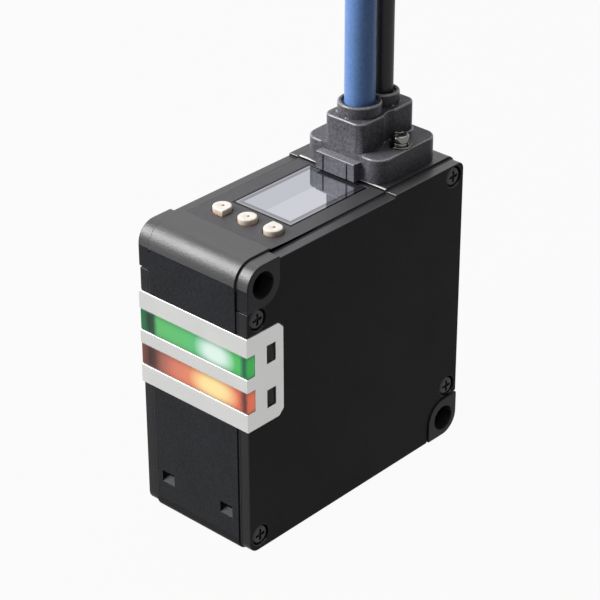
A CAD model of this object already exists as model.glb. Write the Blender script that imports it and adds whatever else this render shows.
"""Dressed model of a compact laser displacement sensor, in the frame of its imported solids."""

import logging
import math
from collections.abc import Callable, Sequence
from dataclasses import dataclass
from enum import Enum

import bpy
from mathutils import Euler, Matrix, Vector


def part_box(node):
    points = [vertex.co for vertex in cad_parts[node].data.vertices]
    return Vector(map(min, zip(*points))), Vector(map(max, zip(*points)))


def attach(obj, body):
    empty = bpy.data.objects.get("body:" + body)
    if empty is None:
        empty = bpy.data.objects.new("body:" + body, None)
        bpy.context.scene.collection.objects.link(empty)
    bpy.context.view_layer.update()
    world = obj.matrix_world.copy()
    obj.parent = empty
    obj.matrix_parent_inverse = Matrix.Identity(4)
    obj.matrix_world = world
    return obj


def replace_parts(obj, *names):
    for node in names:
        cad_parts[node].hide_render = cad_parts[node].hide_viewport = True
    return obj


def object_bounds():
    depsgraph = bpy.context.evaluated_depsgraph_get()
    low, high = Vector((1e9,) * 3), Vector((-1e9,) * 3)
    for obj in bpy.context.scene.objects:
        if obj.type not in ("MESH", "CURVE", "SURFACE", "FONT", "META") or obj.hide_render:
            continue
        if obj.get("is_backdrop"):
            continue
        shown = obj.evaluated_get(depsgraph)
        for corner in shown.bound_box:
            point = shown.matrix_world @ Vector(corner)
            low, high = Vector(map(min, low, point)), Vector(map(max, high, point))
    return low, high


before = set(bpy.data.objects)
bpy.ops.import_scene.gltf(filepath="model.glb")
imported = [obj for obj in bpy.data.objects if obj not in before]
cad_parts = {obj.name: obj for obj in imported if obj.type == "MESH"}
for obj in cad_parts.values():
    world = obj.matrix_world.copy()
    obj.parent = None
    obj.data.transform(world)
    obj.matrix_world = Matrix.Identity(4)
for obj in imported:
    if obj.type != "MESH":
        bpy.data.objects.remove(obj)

log = logging.getLogger("sensor")

MM = 0.001
IMAGE_PX = 600
Point = tuple[float, float, float]
Colour = tuple[float, float, float]
FaceTest = Callable[[Vector, Vector], bool]

# Centrelines of the two cables, in millimetres, from the gland to the far end.
NETWORK_ROUTE: tuple[Point, ...] = (
    (0, 15.4, 72.5), (0, 15.4, 84), (0, 15.4, 93), (-0.5, 16, 99.3), (-2.1, 17.9, 105.2),
    (-4.5, 20.9, 110.2), (-7.7, 24.8, 114.1), (-11.4, 29.4, 116.5), (-15.3, 34.3, 117.3),
    (-19.3, 39.1, 116.5), (-23, 43.7, 114.1), (-26.2, 47.6, 110.2), (-28.6, 50.6, 105.2),
    (-30.2, 52.5, 99.3), (-30.7, 53.1, 93), (-30.7, 53.1, 60), (-30.7, 53.1, 27), (-31.3, 52.6, 20.8),
    (-33.1, 51, 15), (-36, 48.5, 10), (-39.8, 45.3, 6.2), (-44.1, 41.5, 3.8), (-48.8, 37.4, 3),
    (-54.1, 34, 3), (-60, 32, 3), (-66.3, 31.6, 3), (-72.4, 32.9, 3), (-78, 35.7, 3),
    (-82.7, 39.8, 3), (-86.1, 45.1, 3), (-88.1, 51, 3), (-88.5, 57.3, 3), (-87.2, 63.4, 3),
    (-84.4, 69, 3), (-80.3, 73.7, 3), (-76.5, 77, 3),
)
POWER_ROUTE: tuple[Point, ...] = (
    (0, 22.2, 72.5), (0, 22.2, 83), (0, 22.2, 91), (-0.4, 22.7, 95.7), (-1.6, 24, 100),
    (-3.4, 26.2, 103.7), (-5.8, 29.1, 106.6), (-8.6, 32.4, 108.4), (-11.6, 35.9, 109),
    (-14.6, 39.5, 108.4), (-17.5, 42.8, 106.6), (-19.9, 45.6, 103.7), (-21.7, 47.8, 100),
    (-22.9, 49.2, 95.7), (-23.3, 49.7, 91), (-23.3, 49.7, 55), (-23.3, 49.7, 18),
    (-23.7, 49.3, 13.9), (-24.9, 48.3, 10), (-26.8, 46.6, 6.7), (-29.3, 44.4, 4.1),
    (-32.2, 41.9, 2.5), (-35.4, 39.2, 2), (-41.8, 33.6, 2), (-44.6, 30.5, 2), (-46.4, 26.8, 2),
    (-47.3, 22.7, 2), (-47, 18.5, 2), (-45.7, 14.5, 2), (-43.4, 11.1, 2), (-37.5, 4.3, 2),
)


class Body(Enum):
    """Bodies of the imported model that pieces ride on."""

    SENSOR = "sensor"
    LEFT_KEY = "left_key"
    MIDDLE_KEY = "middle_key"
    RIGHT_KEY = "right_key"


class Side(Enum):
    """The two flanks of the sensor, as the sign of their X."""

    LEFT = -1
    RIGHT = 1


class FarEnd(Enum):
    """What a cable ends in."""

    PLUG = "plug"
    BARE = "bare"


class Stiffness(Enum):
    """How well a cable keeps its line."""

    MEDIUM = "medium"
    STIFF = "stiff"


def srgb(red: int, green: int, blue: int) -> Colour:
    """Turns a colour as seen on a screen into the linear values that shaders take.

    Args:
        red: red, 0 to 255.
        green: green, 0 to 255.
        blue: blue, 0 to 255.

    Returns:
        The linear colour.
    """
    shares = (c / 255 for c in (red, green, blue))
    return tuple(c / 12.92 if c <= 0.04045 else ((c + 0.055) / 1.055) ** 2.4 for c in shares)


class Wire:
    """A value in a shader: a node's output that can be used in Python expressions."""

    def __init__(self, shop: "Shop", socket: bpy.types.NodeSocket) -> None:
        """Keeps the output socket and the material it belongs to."""
        self.shop = shop
        self.socket = socket

    def __add__(self, other: "Wire | float") -> "Wire":
        """Sum."""
        return self.shop.maths("ADD", self, other)

    def __radd__(self, other: float) -> "Wire":
        """Sum, reflected."""
        return self.shop.maths("ADD", other, self)

    def __sub__(self, other: "Wire | float") -> "Wire":
        """Difference."""
        return self.shop.maths("SUBTRACT", self, other)

    def __rsub__(self, other: float) -> "Wire":
        """Difference, reflected."""
        return self.shop.maths("SUBTRACT", other, self)

    def __mul__(self, other: "Wire | float") -> "Wire":
        """Product."""
        return self.shop.maths("MULTIPLY", self, other)

    def __rmul__(self, other: float) -> "Wire":
        """Product, reflected."""
        return self.shop.maths("MULTIPLY", other, self)

    def clamped(self) -> "Wire":
        """The value held between 0 and 1."""
        return self.shop.node("Clamp", {}, {"Value": self})


class Shop:
    """One material being made: its node tree and its main shader."""

    def __init__(self, name: str) -> None:
        """Starts an empty node material.

        Args:
            name: the material's name.
        """
        self.material = bpy.data.materials.new(name)
        self.material.use_nodes = True
        self.tree = self.material.node_tree
        self.tree.nodes.clear()
        self.place = self.node("TexCoord", {}, {}, "Object")

    def node(
        self,
        kind: str,
        settings: dict[str, object],
        inputs: dict[str | int, object],
        output: str | int = 0,
    ) -> Wire:
        """Adds one node.

        Args:
            kind: the node's type, without its ShaderNode prefix.
            settings: its properties, and "stops" for a ramp's positions and colours.
            inputs: socket name or number to a value or a Wire.
            output: the output that is wanted.

        Returns:
            That output.
        """
        made = self.tree.nodes.new("ShaderNode" + kind)
        for key, value in settings.items():
            if key == "stops":
                self.set_stops(made.color_ramp, value)
            else:
                setattr(made, key, value)
        for key, value in inputs.items():
            if isinstance(value, Wire):
                self.tree.links.new(value.socket, made.inputs[key])
            else:
                made.inputs[key].default_value = value
        return Wire(self, made.outputs[output])

    @staticmethod
    def set_stops(ramp: bpy.types.ColorRamp, stops: Sequence[tuple[float, Colour]]) -> None:
        """Gives a colour ramp its stops.

        Args:
            ramp: the ramp of a new node, which has two stops.
            stops: positions from 0 to 1, with a colour each.
        """
        while len(ramp.elements) < len(stops):
            ramp.elements.new(1.0)
        for element, (at, colour) in zip(ramp.elements, stops, strict=True):
            element.position = at
            element.color = (*colour, 1.0)

    def maths(self, operation: str, *values: Wire | float) -> Wire:
        """Adds a Math node.

        Args:
            operation: the node's operation.
            values: its inputs, in order.

        Returns:
            The node's value.
        """
        return self.node("Math", {"operation": operation}, dict(enumerate(values)))

    def noise(self, grain: float, detail: float = 2.0, rough: float = 0.5) -> Wire:
        """Soft noise over the piece.

        Args:
            grain: size of one blotch, in metres.
            detail: octaves.
            rough: weight of the finer octaves.

        Returns:
            A value around 0.5.
        """
        inputs = {"Vector": self.place, "Scale": 1 / grain, "Detail": detail, "Roughness": rough}
        return self.node("TexNoise", {}, inputs, "Fac")

    def mottle(self, fine: Wire, cloud: Wire, fine_share: float, cloud_share: float = 0.6) -> Wire:
        """Two noises laid over each other.

        Args:
            fine: the finer noise.
            cloud: the coarser one.
            fine_share: how strongly the finer one shows.
            cloud_share: how strongly the coarser one shows.

        Returns:
            A value round 0.5, held between 0 and 1.
        """
        return ((fine - 0.5) * fine_share + (cloud - 0.5) * cloud_share + 0.5).clamped()

    def distance(self, aside: Wire, along: Wire, flat: float = 1.0) -> Wire:
        """How far a surface point is from a middle.

        Args:
            aside: its distance along one axis.
            along: its distance along the other.
            flat: weight of the second axis.

        Returns:
            The distance.
        """
        return self.maths("SQRT", aside * aside + along * along * flat)

    def axis(self, letter: str) -> Wire:
        """One coordinate of the surface point, in metres."""
        return self.node("SeparateXYZ", {}, {"Vector": self.place}, letter)

    def ramp(self, fac: Wire, stops: Sequence[tuple[float, Colour]]) -> Wire:
        """A colour that follows a value through a ramp."""
        return self.node("ValToRGB", {"stops": stops}, {"Fac": fac}, "Color")

    def mix(self, fac: Wire, low: "Wire | Colour", high: "Wire | Colour") -> Wire:
        """A colour between two, by a value from 0 to 1.

        Args:
            fac: 0 for the first colour, 1 for the second.
            low: the first colour, plain or varying.
            high: the second.

        Returns:
            The colour.
        """
        ends = [end if isinstance(end, Wire) else (*end, 1.0) for end in (low, high)]
        return self.node("Mix", {"data_type": "RGBA"}, {"Factor": fac, 6: ends[0], 7: ends[1]}, 2)

    def range(self, fac: Wire, low: float, high: float) -> Wire:
        """A value from 0 to 1 spread over another range."""
        return fac * (high - low) + low

    def bump(self, height: Wire, depth: float, strength: float) -> Wire:
        """A bumped normal.

        Args:
            height: the relief, 0 to 1.
            depth: metres from its low to its high places.
            strength: how strongly it shows.

        Returns:
            The normal.
        """
        inputs = {"Height": height, "Distance": depth, "Strength": strength}
        return self.node("Bump", {}, inputs, "Normal")

    def principled(self, **inputs: "Wire | float | Colour") -> bpy.types.Material:
        """Closes the material with its main shader.

        Args:
            inputs: socket names, with _ for a space, and their values.

        Returns:
            The finished material.
        """
        sockets = {}
        for key, value in inputs.items():
            if isinstance(value, tuple):
                value = (*value, 1.0)
            sockets[key.replace("_", " ")] = value
        shader = self.node("BsdfPrincipled", {}, sockets)
        out = self.tree.nodes.new("ShaderNodeOutputMaterial")
        self.tree.links.new(shader.socket, out.inputs["Surface"])
        return self.material


@dataclass(frozen=True)
class CoatedCasting:
    """Black coated metal with a fine grain."""

    name: str
    colour: Colour
    paler: Colour
    grain: float
    relief: float
    roughness: float
    shine: float
    cloud_size: float = 9 * MM
    grain_share: float = 2.2
    grain_depth: float = 0.8
    smoother: float = 0.06
    rougher: float = 0.08

    def make(self) -> bpy.types.Material:
        """Builds the material.

        Returns:
            The material.
        """
        shop = Shop(self.name)
        fine = shop.noise(self.grain, detail=3.0, rough=0.6)
        cloud = shop.noise(self.cloud_size)
        mottle = shop.mottle(fine, cloud, self.grain_share)
        return shop.principled(
            Base_Color=shop.mix(mottle, self.colour, self.paler),
            Roughness=shop.range(cloud, self.roughness - self.smoother, self.roughness + self.rougher),
            Normal=shop.bump(fine, self.relief, self.grain_depth),
            Specular_IOR_Level=self.shine,
        )


@dataclass(frozen=True)
class SatinMoulding:
    """Moulded plastic with a spark-eroded skin."""

    name: str
    colour: Colour
    paler: Colour
    grain: float = 0.3 * MM
    relief: float = 0.01 * MM
    roughness: float = 0.42
    shine: float = 0.5
    cloud_size: float = 6 * MM
    skin_share: float = 1.8
    skin_depth: float = 0.7
    roughness_spread: float = 0.07

    def make(self) -> bpy.types.Material:
        """Builds the material.

        Returns:
            The material.
        """
        shop = Shop(self.name)
        skin = shop.noise(self.grain)
        mottle = shop.mottle(skin, shop.noise(self.cloud_size), self.skin_share)
        smooth, rough = self.roughness - self.roughness_spread, self.roughness + self.roughness_spread
        return shop.principled(
            Base_Color=shop.mix(mottle, self.colour, self.paler),
            Roughness=shop.range(skin, smooth, rough),
            Normal=shop.bump(skin, self.relief, self.skin_depth),
            Specular_IOR_Level=self.shine,
        )


@dataclass(frozen=True)
class BrightMetal:
    """Plated or machined metal with faint turning marks."""

    name: str
    colour: Colour
    roughness: float
    smear_size: float = 0.8 * MM
    smear_shade: float = 0.8
    mark_size: float = 0.12 * MM
    mark_relief: float = 0.004 * MM
    mark_depth: float = 0.5
    smoother: float = 0.06
    rougher: float = 0.1

    def make(self) -> bpy.types.Material:
        """Builds the material.

        Returns:
            The material.
        """
        shop = Shop(self.name)
        smear = shop.noise(self.smear_size, detail=3.0, rough=0.6)
        marks = shop.noise(self.mark_size, detail=1.0)
        darker = tuple(c * self.smear_shade for c in self.colour)
        return shop.principled(
            Base_Color=shop.mix(smear, darker, self.colour),
            Roughness=shop.range(smear, self.roughness - self.smoother, self.roughness + self.rougher),
            Normal=shop.bump(marks, self.mark_relief, self.mark_depth),
            Metallic=1.0,
        )


@dataclass(frozen=True)
class PaleTrim:
    """Pale silver paint with a fine metallic grain."""

    name: str
    colour: Colour
    shade: Colour
    flake_size: float = 0.14 * MM
    flake_relief: float = 0.004 * MM
    flake_depth: float = 0.4
    cloud_size: float = 7 * MM
    smooth: float = 0.42
    rough: float = 0.54
    metal: float = 0.78

    def make(self) -> bpy.types.Material:
        """Builds the material.

        Returns:
            The material.
        """
        shop = Shop(self.name)
        flake = shop.noise(self.flake_size)
        cloud = shop.noise(self.cloud_size)
        return shop.principled(
            Base_Color=shop.mix((flake * 0.5 + cloud * 0.5).clamped(), self.shade, self.colour),
            Roughness=shop.range(cloud, self.smooth, self.rough),
            Normal=shop.bump(flake, self.flake_relief, self.flake_depth),
            Metallic=self.metal,
        )


@dataclass(frozen=True)
class LitBar:
    """A translucent bar lit from behind, with a round hot spot in front of its lamp."""

    name: str
    node: str
    stops: tuple[tuple[float, Colour], ...]
    deep: Colour
    hot: Colour
    hot_x: float
    hot_reach: float
    hot_flat: float = 0.3
    hot_gain: float = 1.7
    hot_round: float = 0.3
    edge_shade: float = 0.55
    haze_size: float = 1.6 * MM
    haze_shift: float = 0.02
    body_share: float = 0.25
    glow: float = 0.97
    smooth: float = 0.16
    rough: float = 0.28
    shine: float = 0.3

    def make(self) -> bpy.types.Material:
        """Builds the material.

        Returns:
            The material.
        """
        shop = Shop(self.name)
        low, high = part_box(self.node)
        east = shop.axis("X")
        haze = shop.noise(self.haze_size)
        shift = (haze - 0.5) * self.haze_shift
        across = ((east - low[0]) * (1 / (high[0] - low[0])) + shift).clamped()
        level = (shop.axis("Z") - (low[2] + high[2]) / 2) * (2 / (high[2] - low[2]))
        aside = (east - self.hot_x) * (1 / self.hot_reach)
        spot = (1.0 - shop.distance(aside, level, self.hot_flat)).clamped()
        heat = shop.maths("SMOOTH_MIN", spot * self.hot_gain, 1.0, self.hot_round)
        lit = shop.mix(heat, shop.ramp(across, self.stops), self.hot)
        rim = level * level * level * level * self.edge_shade
        return shop.principled(
            Base_Color=tuple(c * self.body_share for c in self.deep),
            Roughness=shop.range(haze, self.smooth, self.rough),
            Emission_Color=shop.mix(rim, lit, self.deep),
            Emission_Strength=self.glow,
            Specular_IOR_Level=self.shine,
        )


@dataclass(frozen=True)
class DisplayPane:
    """A half-mirrored pane with a darker border round its screen, one half of which is duskier."""

    name: str
    rim: Colour
    line: Colour
    border: Colour
    screen: Colour
    dusk: Colour
    rim_width: float = 0.3 * MM
    line_width: float = 0.3 * MM
    margin: float = 1.4 * MM
    soft: float = 0.12 * MM
    dusk_x: float = -0.6 * MM
    dusk_soft: float = 0.5 * MM
    metal: float = 0.9
    smear_size: float = 5 * MM
    smooth: float = 0.02
    rough: float = 0.06

    def band(self, value: Wire, low: float, high: float) -> Wire:
        """A mask between two places along an axis.

        Args:
            value: the coordinate.
            low: where it begins, in metres.
            high: where it ends.

        Returns:
            1 inside and 0 outside.
        """
        rise = ((value - low) * (1 / self.soft)).clamped()
        fall = ((high - value) * (1 / self.soft)).clamped()
        return rise * fall

    def make(self) -> bpy.types.Material:
        """Builds the material.

        Returns:
            The material.
        """
        shop = Shop(self.name)
        across, along = shop.axis("X"), shop.axis("Y")
        low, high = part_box("display_window")

        def within(gap: float) -> Wire:
            """A mask of the pane's face more than a gap inside its edges."""
            width = self.band(across, low[0] + gap, high[0] - gap)
            return width * self.band(along, low[1] + gap, high[1] - gap)

        half = ((across - self.dusk_x) * (1 / self.dusk_soft)).clamped()
        face = shop.mix(half, self.dusk, self.screen)
        framed = shop.mix(within(self.margin), self.border, face)
        lined = shop.mix(within(self.rim_width + self.line_width), self.line, framed)
        return shop.principled(
            Base_Color=shop.mix(within(self.rim_width), self.rim, lined),
            Roughness=shop.range(shop.noise(self.smear_size), self.smooth, self.rough),
            Metallic=self.metal,
        )


@dataclass(frozen=True)
class KeyCap:
    """Ivory plastic with the small sunk gate mark in the middle of each cap."""

    name: str
    colour: Colour
    shade: Colour
    mark: Colour
    foot: Colour
    pitch: float
    row: float
    mark_radius: float = 0.36 * MM
    mark_soft: float = 0.15 * MM
    cloud_size: float = 2 * MM
    skin_size: float = 0.2 * MM
    skin_relief: float = 0.004 * MM
    skin_depth: float = 0.5
    smooth: float = 0.36
    rough: float = 0.48
    shine: float = 0.4

    def make(self) -> bpy.types.Material:
        """Builds the material.

        Returns:
            The material.
        """
        shop = Shop(self.name)
        turns = shop.axis("X") * (1 / self.pitch) + 0.5
        across = (turns - shop.maths("FLOOR", turns) - 0.5) * self.pitch
        away = shop.distance(across, shop.axis("Y") - self.row)
        sunk = ((self.mark_radius - away) * (1 / self.mark_soft)).clamped()
        cloud = shop.noise(self.cloud_size)
        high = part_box("button_middle")[1]
        foot_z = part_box("top_panel")[1][2]
        rise = ((shop.axis("Z") - foot_z) * (1 / (high[2] - foot_z))).clamped()
        face = shop.mix(rise, self.foot, shop.mix(cloud, self.shade, self.colour))
        return shop.principled(
            Base_Color=shop.mix(sunk, face, self.mark),
            Roughness=shop.range(cloud, self.smooth, self.rough),
            Normal=shop.bump(shop.noise(self.skin_size), self.skin_relief, self.skin_depth),
            Specular_IOR_Level=self.shine,
        )


@dataclass(frozen=True)
class StrippedLeads:
    """Four insulated wires with bare tinned ends, told apart by their place round the cable.

    They start where the cable's route ends, in millimetres, and run on at a turn in degrees.
    """

    name: str
    start: Point
    turn: float
    strip_at: float
    colours: tuple[Colour, Colour, Colour, Colour]
    tin: Colour
    smear_size: float = 0.5 * MM
    smooth: float = 0.3
    rough: float = 0.42

    def make(self) -> bpy.types.Material:
        """Builds the material.

        Returns:
            The material.
        """
        shop = Shop(self.name)
        run, rise = math.cos(math.radians(self.turn)), math.sin(math.radians(self.turn))
        east, north = shop.axis("X") - self.start[0] * MM, shop.axis("Y") - self.start[1] * MM
        along, aside = east * run + north * rise, north * run - east * rise
        left = shop.maths("GREATER_THAN", aside, 0.0)
        above = shop.maths("GREATER_THAN", shop.axis("Z"), self.start[2] * MM)
        low = shop.mix(left, self.colours[0], self.colours[1])
        high = shop.mix(left, self.colours[2], self.colours[3])
        bare = shop.maths("GREATER_THAN", along, self.strip_at)
        return shop.principled(
            Base_Color=shop.mix(bare, shop.mix(above, low, high), self.tin),
            Roughness=shop.range(shop.noise(self.smear_size), self.smooth, self.rough),
            Metallic=bare,
        )


@dataclass(frozen=True)
class ClearMoulding:
    """Clear or tinted plastic or glass."""

    name: str
    colour: Colour
    clear: float
    roughness: float = 0.06
    roughness_spread: float = 0.06
    smear_size: float = 3 * MM
    smear_shade: float = 0.85
    index: float = 1.5

    def make(self) -> bpy.types.Material:
        """Builds the material.

        Returns:
            The material.
        """
        shop = Shop(self.name)
        smear = shop.noise(self.smear_size)
        deep = tuple(c * self.smear_shade for c in self.colour)
        return shop.principled(
            Base_Color=shop.mix(smear, deep, self.colour),
            Roughness=shop.range(smear, self.roughness, self.roughness + self.roughness_spread),
            Transmission_Weight=self.clear,
            IOR=self.index,
        )


class Bench:
    """Hand operations on meshes, each on one object at a time."""

    MERGE_GAP = 2e-6
    FLAT_TURN = math.radians(0.4)
    SMOOTH_TURN = math.radians(34)
    CORNER_TURN = math.radians(40)
    FLAT_WEIGHT = 100

    @staticmethod
    def alone(piece: bpy.types.Object) -> None:
        """Selects one object and makes it active.

        Args:
            piece: the object.
        """
        bpy.ops.object.select_all(action="DESELECT")
        piece.select_set(True)
        bpy.context.view_layer.objects.active = piece

    @classmethod
    def copy_of(cls, node: str, name: str) -> bpy.types.Object:
        """Copies a CAD node into a piece with merged corners and whole flat faces.

        Args:
            node: the CAD node.
            name: the piece's name.

        Returns:
            The piece, which now stands for the node.
        """
        bpy.ops.object.select_all(action="DESELECT")
        piece = bpy.data.objects.new(name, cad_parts[node].data.copy())
        bpy.context.collection.objects.link(piece)
        cls.alone(piece)
        bpy.ops.object.mode_set(mode="EDIT")
        bpy.ops.mesh.select_all(action="SELECT")
        bpy.ops.mesh.remove_doubles(threshold=cls.MERGE_GAP)
        bpy.ops.mesh.dissolve_limited(angle_limit=cls.FLAT_TURN)
        bpy.ops.object.mode_set(mode="OBJECT")
        piece.data.materials.clear()
        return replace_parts(piece, node)

    @classmethod
    def soften(cls, piece: bpy.types.Object, width: float, segments: int = 2) -> None:
        """Breaks all sharp edges a little and shades flat faces flat and roundings round.

        Args:
            piece: the mesh.
            width: the edge break, in metres; 0 leaves the edges.
            segments: steps of the rounding.
        """
        cls.alone(piece)
        if width > 0:
            bpy.ops.object.modifier_add(type="BEVEL")
            bevel = piece.modifiers[-1]
            bevel.width = width
            bevel.segments = segments
            bevel.limit_method = "ANGLE"
            bevel.angle_limit = cls.CORNER_TURN
            bevel.use_clamp_overlap = False
            bpy.ops.object.modifier_apply(modifier=bevel.name)
        bpy.ops.object.shade_smooth_by_angle(angle=cls.SMOOTH_TURN)
        bpy.ops.object.modifier_add(type="WEIGHTED_NORMAL")
        flat = piece.modifiers[-1]
        flat.weight = cls.FLAT_WEIGHT
        flat.keep_sharp = True
        bpy.ops.object.modifier_apply(modifier=flat.name)

    @classmethod
    def split(cls, piece: bpy.types.Object, x: float) -> None:
        """Cuts new edges round a mesh where a plane across X meets it.

        Args:
            piece: the mesh.
            x: the plane's place, in metres.
        """
        cls.alone(piece)
        bpy.ops.object.mode_set(mode="EDIT")
        bpy.ops.mesh.select_all(action="SELECT")
        bpy.ops.mesh.bisect(plane_co=(x, 0, 0), plane_no=(1, 0, 0))
        bpy.ops.object.mode_set(mode="OBJECT")

    @classmethod
    def round_edges(
        cls, piece: bpy.types.Object, width: float, segments: int, wanted: Callable[[Vector], bool]
    ) -> None:
        """Rounds the outer corners that a test picks.

        Args:
            piece: the mesh.
            width: how far the rounding reaches, in metres.
            segments: steps of the rounding.
            wanted: whether an edge with this middle is rounded.
        """
        mesh = piece.data
        sides: dict[tuple[int, int], list[bpy.types.MeshPolygon]] = {}
        for polygon in mesh.polygons:
            polygon.select = False
            for key in polygon.edge_keys:
                sides.setdefault(key, []).append(polygon)
        for vertex in mesh.vertices:
            vertex.select = False
        for edge in mesh.edges:
            ends = [mesh.vertices[i].co for i in edge.vertices]
            middle = (ends[0] + ends[1]) / 2
            pair = sides.get(edge.key, [])
            edge.select = len(pair) == 2 and wanted(middle) and cls.is_corner(*pair, middle)
        cls.alone(piece)
        bpy.context.tool_settings.mesh_select_mode = (False, True, False)
        bpy.ops.object.mode_set(mode="EDIT")
        bpy.ops.mesh.bevel(offset=width, segments=segments, profile=0.5, affect="EDGES")
        bpy.ops.mesh.select_all(action="SELECT")
        bpy.ops.mesh.dissolve_degenerate(threshold=cls.MERGE_GAP)
        bpy.ops.object.mode_set(mode="OBJECT")

    @classmethod
    def is_corner(
        cls, one: bpy.types.MeshPolygon, other: bpy.types.MeshPolygon, middle: Vector
    ) -> bool:
        """Whether two faces meet in a sharp outer corner.

        Args:
            one: a face.
            other: its neighbour.
            middle: the middle of their common edge.

        Returns:
            True for a corner that turns outwards by more than the least turn.
        """
        outwards = (other.center - middle).dot(one.normal) < 0
        return outwards and one.normal.angle(other.normal, 0.0) > cls.CORNER_TURN

    @staticmethod
    def dress_faces(
        piece: bpy.types.Object, material: bpy.types.Material, wanted: FaceTest
    ) -> None:
        """Gives some faces of a finished piece a finish of their own.

        Args:
            piece: the mesh, already finished.
            material: the finish of those faces.
            wanted: whether a face with this centre and normal takes it.
        """
        piece.data.materials.append(material)
        slot = len(piece.data.materials) - 1
        for polygon in piece.data.polygons:
            if wanted(polygon.center, polygon.normal):
                polygon.material_index = slot

    @staticmethod
    def finish(piece: bpy.types.Object, material: bpy.types.Material, body: Body) -> None:
        """Gives a piece its material and body, and reports it.

        Args:
            piece: the piece.
            material: its finish.
            body: the body that it rides on.
        """
        piece.data.materials.clear()
        piece.data.materials.append(material)
        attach(piece, body.value)
        log.info("piece %s on %s", piece.name, body.value)

    @classmethod
    def lay_out(
        cls, plan: dict[str, tuple[bpy.types.Material, float]]
    ) -> dict[str, bpy.types.Object]:
        """Makes a piece of each CAD node in a plan, on the sensor's own body.

        Args:
            plan: each node's finish and edge break, in metres.

        Returns:
            Each node's piece.
        """
        pieces = {}
        for node, (material, width) in plan.items():
            pieces[node] = cls.copy_of(node, f"{node}_piece")
            cls.soften(pieces[node], width)
            cls.finish(pieces[node], material, Body.SENSOR)
        return pieces


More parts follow.
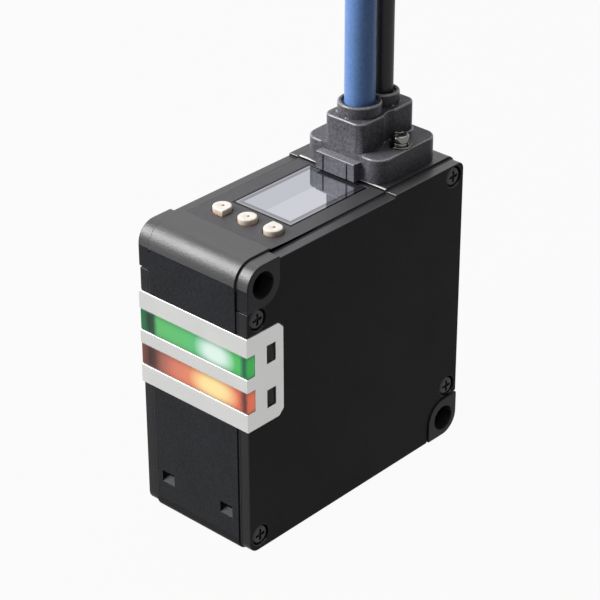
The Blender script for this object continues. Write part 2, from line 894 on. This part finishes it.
class Palette:
    """All finishes of the sensor, made once."""

    def __init__(self) -> None:
        """Builds every material."""
        self.casting = CoatedCasting(
            "casting_black",
            colour=srgb(24, 24, 26),
            paler=srgb(43, 43, 46),
            grain=0.45 * MM,
            relief=0.06 * MM,
            roughness=0.4,
            shine=0.85,
        ).make()
        self.worn_edge = BrightMetal("worn_edge", srgb(176, 176, 174), roughness=0.52).make()
        self.rim = CoatedCasting(
            "cover_rim",
            colour=srgb(26, 26, 28),
            paler=srgb(45, 45, 47),
            grain=0.45 * MM,
            relief=0.03 * MM,
            roughness=0.42,
            shine=0.15,
        ).make()
        self.flank = CoatedCasting(
            "cover_flank",
            colour=srgb(23, 23, 24),
            paler=srgb(36, 36, 37),
            grain=0.22 * MM,
            relief=0.006 * MM,
            roughness=0.55,
            shine=0.07,
        ).make()
        self.moulding = SatinMoulding(
            "moulded_black",
            colour=srgb(70, 69, 74),
            paler=srgb(122, 121, 128),
            grain=0.45 * MM,
            relief=0.05 * MM,
            roughness=0.36,
            shine=0.12,
        ).make()
        self.moulded_edge = SatinMoulding(
            "moulded_edge",
            colour=srgb(116, 115, 120),
            paler=srgb(150, 149, 155),
            grain=0.45 * MM,
            relief=0.012 * MM,
            roughness=0.26,
            shine=0.8,
        ).make()
        self.panel = SatinMoulding(
            "front_film",
            colour=srgb(24, 25, 28),
            paler=srgb(45, 46, 50),
            grain=0.45 * MM,
            relief=0.02 * MM,
            roughness=0.5,
            shine=0.1,
        ).make()
        self.key_panel = SatinMoulding(
            "key_film",
            colour=srgb(54, 52, 55),
            paler=srgb(74, 72, 75),
            grain=0.45 * MM,
            relief=0.012 * MM,
            roughness=0.45,
            shine=0.4,
        ).make()
        self.key = KeyCap(
            "key_ivory",
            colour=srgb(250, 245, 236),
            shade=srgb(243, 236, 225),
            mark=srgb(120, 88, 66),
            foot=srgb(222, 192, 162),
            pitch=6.5 * MM,
            row=-15.6 * MM,
        ).make()
        self.white = SatinMoulding("white_moulding", srgb(226, 226, 222), srgb(236, 236, 232)).make()
        self.rubber = SatinMoulding(
            "seal_rubber", srgb(16, 16, 17), srgb(25, 25, 26), roughness=0.7
        ).make()
        self.board = SatinMoulding("board_laminate", srgb(24, 84, 54), srgb(34, 100, 66)).make()
        self.steel = BrightMetal("screw_nickel", srgb(118, 116, 112), roughness=0.15).make()
        self.black_steel = BrightMetal("screw_black", srgb(56, 56, 58), roughness=0.24).make()
        self.gold = BrightMetal("contact_gold", srgb(222, 176, 92), roughness=0.22).make()
        self.alloy = BrightMetal("machined_alloy", srgb(190, 190, 188), roughness=0.36).make()
        self.trim = PaleTrim("trim_silver", srgb(222, 223, 221), srgb(206, 207, 205)).make()
        self.green = LitBar(
            "bar_green",
            node="laser_light_guide",
            stops=(
                (0.0, srgb(16, 112, 62)),
                (0.05, srgb(12, 92, 50)),
                (0.08, srgb(3, 32, 22)),
                (0.125, srgb(10, 60, 36)),
                (0.165, srgb(92, 185, 104)),
                (0.44, srgb(92, 190, 110)),
                (0.6, srgb(80, 190, 130)),
                (0.83, srgb(84, 190, 104)),
                (0.93, srgb(74, 185, 90)),
                (0.965, srgb(8, 95, 60)),
                (0.985, srgb(8, 95, 60)),
                (0.997, srgb(40, 158, 66)),
            ),
            deep=srgb(10, 74, 46),
            hot=srgb(222, 242, 234),
            hot_x=5.6 * MM,
            hot_reach=5.4 * MM,
        ).make()
        self.orange = LitBar(
            "bar_orange",
            node="alarm_light_guide",
            stops=(
                (0.0, srgb(120, 66, 54)),
                (0.05, srgb(84, 46, 40)),
                (0.08, srgb(28, 15, 14)),
                (0.125, srgb(66, 38, 33)),
                (0.2, srgb(160, 96, 80)),
                (0.32, srgb(214, 122, 98)),
                (0.6, srgb(240, 146, 100)),
                (0.82, srgb(236, 138, 96)),
                (0.92, srgb(222, 108, 80)),
                (0.965, srgb(90, 46, 40)),
                (0.985, srgb(90, 46, 40)),
                (0.997, srgb(208, 98, 66)),
            ),
            deep=srgb(92, 42, 36),
            hot=srgb(255, 228, 158),
            hot_x=5.2 * MM,
            hot_reach=6.6 * MM,
        ).make()
        self.display = DisplayPane(
            "display_pane",
            rim=srgb(20, 20, 22),
            line=srgb(178, 178, 184),
            border=srgb(142, 142, 150),
            screen=srgb(203, 204, 212),
            dusk=srgb(188, 191, 199),
        ).make()
        self.lens = ClearMoulding("optic_clear", srgb(220, 232, 240), clear=0.9).make()
        self.filter = ClearMoulding("optic_red", srgb(110, 30, 36), clear=0.5).make()
        self.plug = ClearMoulding("plug_clear", srgb(222, 226, 230), clear=0.7).make()
        self.blue = SatinMoulding(
            "jacket_blue",
            colour=srgb(106, 144, 206),
            paler=srgb(126, 164, 224),
            grain=0.5 * MM,
            relief=0.015 * MM,
            roughness=0.4,
            shine=0.2,
        ).make()
        self.black = SatinMoulding(
            "jacket_black",
            colour=srgb(24, 24, 26),
            paler=srgb(36, 36, 38),
            grain=0.5 * MM,
            relief=0.015 * MM,
            roughness=0.45,
            shine=0.3,
        ).make()
        self.leads = StrippedLeads(
            "lead_insulation",
            start=POWER_ROUTE[-1],
            turn=-49.05,
            strip_at=16 * MM,
            colours=(srgb(120, 70, 44), srgb(44, 92, 170), srgb(30, 30, 32), srgb(222, 222, 218)),
            tin=srgb(214, 206, 190),
        ).make()


@dataclass
class Housing:
    """The cast core with its two bosses, its covers, gaskets and screws.

    The turns are the parts of a face's normal along an axis: 1 for a face square to that axis.
    """

    palette: Palette
    core_edge: float = 0.2 * MM
    cover_edge: float = 0.16 * MM
    screw_edge: float = 0.08 * MM
    cover_face: float = 13.75 * MM
    face_gap: float = 0.01 * MM
    step_edge: float = 0.5 * MM
    foot_lip: float = 0.4 * MM
    foot_reach: float = 3 * MM
    flank_turn: float = 0.9
    side_turn: float = 0.2
    front_turn: float = 0.999
    top_turn: float = 0.7
    worn_turns: tuple[float, float] = (0.15, 0.98)

    def on_flank(self, centre: Vector, normal: Vector) -> bool:
        """Whether a face is in the flat outer plane of a cover."""
        flat = abs(normal.x) > self.flank_turn
        return flat and abs(abs(centre.x) - self.cover_face) < self.face_gap

    def on_step(self) -> FaceTest:
        """A test for the broken edge of the step behind the key panel.

        Returns:
            The test, for a face's centre and normal.
        """
        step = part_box("top_panel")[1]

        def worn(centre: Vector, normal: Vector) -> bool:
            """Whether a face is on that edge."""
            near = abs(centre.y - step[1]) < self.step_edge and centre.z > step[2]
            return near and self.worn_turns[0] < normal.z < self.worn_turns[1]

        return worn

    def build_core(self) -> None:
        """The core: glossy on top, worn on its step, and duller at the sides, the front and the foot."""
        core = Bench.copy_of("main_housing", "core")
        Bench.soften(core, self.core_edge)
        Bench.finish(core, self.palette.casting, Body.SENSOR)
        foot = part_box("lower_front_panel")[0]
        lip, back = foot[2] + self.foot_lip, foot[1] + self.foot_reach
        finishes = (
            (self.palette.rim, lambda centre, normal: abs(normal.x) > self.side_turn),
            (self.palette.worn_edge, self.on_step()),
            (self.palette.panel, lambda centre, normal: normal.y < -self.front_turn),
            (self.palette.flank, lambda centre, normal: centre.z < lip and centre.y < back),
        )
        for material, wanted in finishes:
            Bench.dress_faces(core, material, wanted)

    def build_cover(self, side: Side) -> None:
        """One cover with its rim, matt flank, glossier top and worn step.

        Args:
            side: the flank it closes.
        """
        node = f"{side.name.lower()}_cover"
        cover = Bench.copy_of(node, f"{node}_shell")
        Bench.soften(cover, self.cover_edge)
        Bench.finish(cover, self.palette.rim, Body.SENSOR)
        finishes = (
            (self.palette.flank, self.on_flank),
            (self.palette.casting, lambda centre, normal: normal.z > self.top_turn),
            (self.palette.worn_edge, self.on_step()),
        )
        for material, wanted in finishes:
            Bench.dress_faces(cover, material, wanted)

    def build(self) -> None:
        """Builds all of it."""
        self.build_core()
        for side in Side:
            self.build_cover(side)
            gasket = Bench.copy_of(f"{side.name.lower()}_gasket", f"{side.name.lower()}_seal_sheet")
            Bench.soften(gasket, 0.0)
            Bench.finish(gasket, self.palette.rubber, Body.SENSOR)
        screws = Bench.copy_of("cover_screws", "cover_screw_set")
        Bench.soften(screws, self.screw_edge)
        Bench.finish(screws, self.palette.black_steel, Body.SENSOR)


@dataclass
class Indicators:
    """The front panels, the pale band and the two lit bars."""

    palette: Palette
    panel_edge: float = 0.03 * MM
    trim_edge: float = 0.15 * MM
    holder_edge: float = 0.1 * MM
    bar_edge: float = 0.25 * MM
    board_edge: float = 0.05 * MM
    slot_turn: float = 0.2

    def build(self) -> None:
        """Builds all of it."""
        pieces = Bench.lay_out({
            "upper_front_panel": (self.palette.panel, self.panel_edge),
            "lower_front_panel": (self.palette.panel, self.panel_edge),
            "indicator_trim": (self.palette.trim, self.trim_edge),
            "indicator_holder": (self.palette.moulding, self.holder_edge),
            "laser_light_guide": (self.palette.green, self.bar_edge),
            "alarm_light_guide": (self.palette.orange, self.bar_edge),
            "indicator_board": (self.palette.board, self.board_edge),
            "indicator_leds": (self.palette.white, self.board_edge),
        })
        Bench.dress_faces(
            pieces["lower_front_panel"],
            self.palette.rim,
            lambda centre, normal: normal.z > self.slot_turn,
        )


@dataclass
class TopPanel:
    """The sunk panel with its keys and display."""

    palette: Palette
    panel_edge: float = 0.12 * MM
    pane_edge: float = 0.05 * MM
    module_edge: float = 0.1 * MM
    board_edge: float = 0.05 * MM
    key_edge: float = 0.28 * MM
    key_steps: int = 3

    def build(self) -> None:
        """Builds all of it."""
        Bench.lay_out({
            "top_panel": (self.palette.key_panel, self.panel_edge),
            "display_window": (self.palette.display, self.pane_edge),
            "display_module": (self.palette.white, self.module_edge),
            "switch_board": (self.palette.board, self.board_edge),
            "tact_switches": (self.palette.moulding, self.board_edge),
        })
        keys = {
            "button_left": Body.LEFT_KEY,
            "button_middle": Body.MIDDLE_KEY,
            "button_right": Body.RIGHT_KEY,
        }
        for node, body in keys.items():
            key = Bench.copy_of(node, f"{node}_cap")
            Bench.soften(key, self.key_edge, self.key_steps)
            Bench.finish(key, self.palette.key, body)


@dataclass
class CableEntry:
    """The moulded cable entry with its screws and washers.

    The rings are the places along Y and the radii of the two collars' openings.
    """

    palette: Palette
    tab_gap: float = 1.0 * MM
    tab_reach: float = 1.9 * MM
    screw_room: float = 3.6 * MM
    corner: float = 0.32 * MM
    edge_break: float = 0.13 * MM
    screw_edge: float = 0.12 * MM
    washer_edge: float = 0.06 * MM
    block_end: float = 5.4 * MM
    rings: tuple[tuple[float, float], ...] = ((15.4 * MM, 3.8 * MM), (22.2 * MM, 2.8 * MM))
    corner_steps: int = 3
    break_steps: int = 2
    edge_turns: tuple[float, float] = (0.2, 0.98)
    tab_turn: float = 0.9

    def build_gland(self) -> None:
        """The entry, with rounder corners above its front tab than on it, and paler edges and tab."""
        gland = Bench.copy_of("cable_gland", "cable_gland_piece")
        low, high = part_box("gland_flat_washers")
        washer = (high[1] - low[1]) / 2
        base_top, screw_x, screw_y = low[2], high[0] - washer, low[1] + washer
        tab_top, tab_back = base_top - self.tab_gap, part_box("cable_gland")[0][1] + self.tab_reach
        for side in Side:
            Bench.split(gland, side.value * self.block_end)

        def off_block(middle: Vector) -> bool:
            """Whether an edge is clear of the thin corners where the block meets the base's front."""
            level = abs(middle.z - base_top) < self.edge_break
            return not (level and abs(middle.x) < self.block_end and middle.y < screw_y - washer)

        def outer_corner(middle: Vector) -> bool:
            """Whether an edge is above the tab and away from the cables and the screws.

            Args:
                middle: the edge's middle.

            Returns:
                True for an edge that gets the larger rounding.
            """
            off_cables = all(math.hypot(middle.x, middle.y - y) > r for y, r in self.rings)
            off_screws = math.hypot(abs(middle.x) - screw_x, middle.y - screw_y) > self.screw_room
            return off_cables and off_screws and off_block(middle) and middle.z > tab_top

        def on_edge(centre: Vector, normal: Vector) -> bool:
            """Whether a face is on a rounded upper edge."""
            return self.edge_turns[0] < normal.z < self.edge_turns[1]

        def on_tab(centre: Vector, normal: Vector) -> bool:
            """Whether a face is on top of the tab."""
            return normal.z > self.tab_turn and centre.y < tab_back and centre.z < tab_top

        Bench.round_edges(gland, self.corner, self.corner_steps, outer_corner)
        Bench.round_edges(gland, self.edge_break, self.break_steps, off_block)
        Bench.soften(gland, 0.0)
        Bench.finish(gland, self.palette.moulding, Body.SENSOR)
        for wanted in (on_edge, on_tab):
            Bench.dress_faces(gland, self.palette.moulded_edge, wanted)

    def build(self) -> None:
        """Builds all of it."""
        self.build_gland()
        Bench.lay_out({
            "gland_seal": (self.palette.rubber, 0.0),
            "gland_screws": (self.palette.steel, self.screw_edge),
            "gland_spring_washers": (self.palette.steel, self.washer_edge),
            "gland_flat_washers": (self.palette.steel, self.washer_edge),
        })


@dataclass
class InnerParts:
    """What the housing hides: optics and electronics."""

    palette: Palette
    edge: float = 0.08 * MM

    def build(self) -> None:
        """Builds all of it."""
        plan = {
            "emitter_window": self.palette.filter,
            "receiver_window": self.palette.filter,
            "laser_holder": self.palette.alloy,
            "laser_diode": self.palette.steel,
            "collimator_lens": self.palette.lens,
            "lens_barrel": self.palette.moulding,
            "receiver_lens": self.palette.lens,
            "image_sensor": self.palette.moulding,
            "sensor_board": self.palette.board,
            "main_board": self.palette.board,
            "board_screws": self.palette.steel,
        }
        Bench.lay_out({node: (material, self.edge) for node, material in plan.items()})


@dataclass
class PlugContacts:
    """The gilt blades in the slots of the network plug.

    Their size, and their place ahead of the cable's end and below it, are in millimetres.
    """

    palette: Palette
    at: Point
    turn: float = math.radians(40.97)
    count: int = 8
    pitch: float = 1.02 * MM
    edge: float = 0.1 * MM
    size: Point = (4.4, 0.34, 0.9)
    ahead: float = 29.0
    below: float = 2.3

    def build(self) -> bpy.types.Object:
        """Models one blade, copies it along the row and joins the blades.

        Returns:
            The piece.
        """
        run, rise = math.cos(self.turn), math.sin(self.turn)
        offset = Vector((run * self.ahead, rise * self.ahead, -self.below))
        step = Vector((-rise, run, 0)) * self.pitch
        first = (Vector(self.at) + offset) * MM - step * ((self.count - 1) / 2)
        bpy.ops.object.select_all(action="DESELECT")
        bpy.ops.mesh.primitive_cube_add(size=1, location=first, rotation=(0, 0, self.turn))
        blades = [bpy.context.object]
        blades[0].scale = Vector(self.size) * MM
        bpy.ops.object.transform_apply(location=True, rotation=True, scale=True)
        Bench.soften(blades[0], self.edge)
        while len(blades) < self.count:
            Bench.alone(blades[-1])
            bpy.ops.object.duplicate(linked=False)
            bpy.context.object.location = step
            bpy.ops.object.transform_apply(location=True, rotation=True, scale=True)
            blades.append(bpy.context.object)
        bpy.ops.object.select_all(action="DESELECT")
        for blade in blades:
            blade.select_set(True)
        bpy.context.view_layer.objects.active = blades[0]
        bpy.ops.object.join()
        blades[0].name = "plug_contacts"
        Bench.finish(blades[0], self.palette.gold, Body.SENSOR)
        return blades[0]


@dataclass
class Cable:
    """A round cable along a route, both in millimetres, with what is on its far end."""

    node: str
    end_node: str
    diameter: float
    route: tuple[Point, ...]
    far_end: FarEnd
    stiffness: Stiffness
    material: bpy.types.Material
    end_material: bpy.types.Material
    fittings: tuple[bpy.types.Object, ...] = ()
    steps: int = 6
    roundness: int = 6
    end_edge: float = 0.15 * MM
    shortest: float = 1e-6

    def smooth_route(self) -> list[Vector]:
        """The route's points with a smooth line drawn through them, in metres.

        Returns:
            Points close together along the centreline.
        """
        knots = [Vector(p) * MM for p in self.route]
        first, last = 2 * knots[0] - knots[1], 2 * knots[-1] - knots[-2]
        padded = [first, *knots, last]
        line = []
        for a, b, c, d in zip(padded, padded[1:], padded[2:], padded[3:]):
            pairs = ((a, b), (b, c), (c, d))
            before, here, after = (max((q - p).length, self.shortest) ** 0.5 for p, q in pairs)
            leave = ((b - a) / before - (c - a) / (before + here) + (c - b) / here) * here
            reach = ((c - b) / here - (d - b) / (here + after) + (d - c) / after) * here
            for k in range(self.steps):
                t = k / self.steps
                line.append(
                    (2 * t**3 - 3 * t**2 + 1) * b
                    + (t**3 - 2 * t**2 + t) * leave
                    + (3 * t**2 - 2 * t**3) * c
                    + (t**3 - t**2) * reach
                )
        return [*line, knots[-1]]

    def build(self) -> None:
        line = self.smooth_route()
        curve = bpy.data.curves.new(f"{self.node}_line", "CURVE")
        curve.dimensions = "3D"
        curve.bevel_depth = self.diameter * MM / 2
        curve.bevel_resolution = self.roundness
        curve.use_fill_caps = True
        spline = curve.splines.new("POLY")
        spline.points.add(len(line) - 1)
        for point, at in zip(spline.points, line, strict=True):
            point.co = (*at, 1.0)
        spline.use_smooth = True
        cord = bpy.data.objects.new(f"{self.node}_jacket", curve)
        bpy.context.collection.objects.link(cord)
        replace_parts(cord, self.node)
        Bench.finish(cord, self.material, Body.SENSOR)
        end = Bench.copy_of(self.end_node, f"{self.end_node}_piece")
        Bench.soften(end, self.end_edge)
        Bench.finish(end, self.end_material, Body.SENSOR)
        long = sum((q - p).length for p, q in zip(line, line[1:]))
        self.diameter * MM
        log.info("cable %s is %.3f m long", cord.name, long)


@dataclass(frozen=True)
class Softbox:
    """A square soft lamp, in metres and watts."""

    name: str
    at: Point
    size: float
    watts: float
    aim: Point = (0, 0, 0.04)

    def build(self) -> None:
        """Hangs the lamp and turns it to the point that it faces."""
        data = bpy.data.lights.new(self.name, "AREA")
        data.size = self.size
        data.energy = self.watts
        lamp = bpy.data.objects.new(self.name, data)
        lamp.location = self.at
        lamp.rotation_euler = (Vector(self.aim) - Vector(self.at)).to_track_quat("-Z", "Y").to_euler()
        bpy.context.collection.objects.link(lamp)


@dataclass
class Studio:
    """Camera, lamps, floor and background.

    The camera's place is in millimetres and its angles are in degrees.
    """

    camera_at: Point = (257.86, -282.1, 254.54)
    azimuth: float = 42.59
    elevation: float = 29.53
    roll: float = -0.16
    focal_px: float = 2261.3
    sensor_mm: float = 36.0
    clip_start: float = 0.01
    fill_tint: Colour = (0.92, 0.95, 1.0)
    fill_strength: float = 0.11
    floor_size: float = 6.0
    floor_z: float = -0.00002
    floor_grey: float = 0.22
    floor_white: float = 0.95
    lamps: tuple[Softbox, ...] = (
        Softbox("top_softbox", (-0.25, 0.35, 0.85), 0.6, 2.0),
        Softbox("key_softbox", (-0.6, -0.55, 0.65), 0.62, 13.6),
    )

    def build_camera(self) -> None:
        """The camera at the photograph's place."""
        data = bpy.data.cameras.new("photo_camera")
        data.sensor_fit = "HORIZONTAL"
        data.sensor_width = self.sensor_mm
        data.lens = self.focal_px / IMAGE_PX * self.sensor_mm
        data.clip_start = self.clip_start
        camera = bpy.data.objects.new("photo_camera", data)
        camera.location = Vector(self.camera_at) * MM
        turn = Euler((math.radians(90 - self.elevation), 0, math.radians(self.azimuth)))
        roll = Euler((0, 0, math.radians(self.roll)))
        camera.rotation_euler = (turn.to_matrix() @ roll.to_matrix()).to_euler()
        bpy.context.collection.objects.link(camera)
        bpy.context.scene.camera = camera

    @staticmethod
    def seen_white(tree: bpy.types.NodeTree) -> bpy.types.NodeSocket:
        """1 for rays that the camera, metal and glass look along, else 0.

        Args:
            tree: the node tree to add the nodes to.

        Returns:
            The mask's socket.
        """
        path = tree.nodes.new("ShaderNodeLightPath")
        mask = path.outputs["Is Camera Ray"]
        for ray in ("Is Glossy Ray", "Is Transmission Ray"):
            both = tree.nodes.new("ShaderNodeMath")
            both.operation = "MAXIMUM"
            tree.links.new(mask, both.inputs[0])
            tree.links.new(path.outputs[ray], both.inputs[1])
            mask = both.outputs[0]
        return mask

    def build_world(self) -> None:
        """A white background, with a dimmer fill light."""
        world = bpy.data.worlds.new("studio_world")
        world.use_nodes = True
        tree = world.node_tree
        tree.nodes.clear()
        fill = tree.nodes.new("ShaderNodeBackground")
        fill.inputs["Color"].default_value = (*self.fill_tint, 1.0)
        fill.inputs["Strength"].default_value = self.fill_strength
        white = tree.nodes.new("ShaderNodeBackground")
        white.inputs["Color"].default_value = (1.0, 1.0, 1.0, 1.0)
        both = tree.nodes.new("ShaderNodeMixShader")
        out = tree.nodes.new("ShaderNodeOutputWorld")
        tree.links.new(self.seen_white(tree), both.inputs[0])
        tree.links.new(fill.outputs[0], both.inputs[1])
        tree.links.new(white.outputs[0], both.inputs[2])
        tree.links.new(both.outputs[0], out.inputs["Surface"])
        bpy.context.scene.world = world

    def build_floor(self) -> None:
        """A pale floor that keeps the object's soft shadow."""
        bpy.ops.object.select_all(action="DESELECT")
        bpy.ops.mesh.primitive_plane_add(size=self.floor_size, location=(0, 0, self.floor_z))
        floor = bpy.context.object
        floor.name = "floor"
        material = bpy.data.materials.new("floor_paper")
        material.use_nodes = True
        tree = material.node_tree
        tree.nodes.clear()
        paper = tree.nodes.new("ShaderNodeBsdfDiffuse")
        paper.inputs["Color"].default_value = (self.floor_grey, self.floor_grey, self.floor_grey, 1.0)
        lit = tree.nodes.new("ShaderNodeEmission")
        lit.inputs["Strength"].default_value = 1.0
        both = tree.nodes.new("ShaderNodeMixShader")
        share = tree.nodes.new("ShaderNodeMath")
        share.operation = "MULTIPLY"
        share.inputs[1].default_value = self.floor_white
        out = tree.nodes.new("ShaderNodeOutputMaterial")
        tree.links.new(self.seen_white(tree), share.inputs[0])
        tree.links.new(share.outputs[0], both.inputs[0])
        tree.links.new(paper.outputs[0], both.inputs[1])
        tree.links.new(lit.outputs[0], both.inputs[2])
        tree.links.new(both.outputs[0], out.inputs["Surface"])
        floor.data.materials.append(material)
        floor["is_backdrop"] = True

    def build(self) -> None:
        """Builds the whole studio."""
        self.build_camera()
        self.build_world()
        self.build_floor()
        for lamp in self.lamps:
            lamp.build()
        bpy.context.scene.view_settings.view_transform = "Standard"


def main() -> None:
    """Builds the sensor, piece by piece, in its studio."""
    logging.basicConfig(level=logging.INFO, format="%(name)s: %(message)s")
    low, high = (corner.copy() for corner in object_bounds())
    Studio().build()
    palette = Palette()
    contacts = PlugContacts(palette, NETWORK_ROUTE[-1]).build()
    Cable(
        "network_cable",
        "network_plug",
        diameter=6.0,
        route=NETWORK_ROUTE,
        far_end=FarEnd.PLUG,
        stiffness=Stiffness.STIFF,
        material=palette.blue,
        end_material=palette.plug,
        fittings=(contacts,),
    ).build()
    Cable(
        "power_cable",
        "power_leads",
        diameter=4.0,
        route=POWER_ROUTE,
        far_end=FarEnd.BARE,
        stiffness=Stiffness.MEDIUM,
        material=palette.black,
        end_material=palette.leads,
    ).build()
    for assembly in (Housing, Indicators, TopPanel, CableEntry, InnerParts):
        assembly(palette).build()


if __name__ == "__main__":
    main()
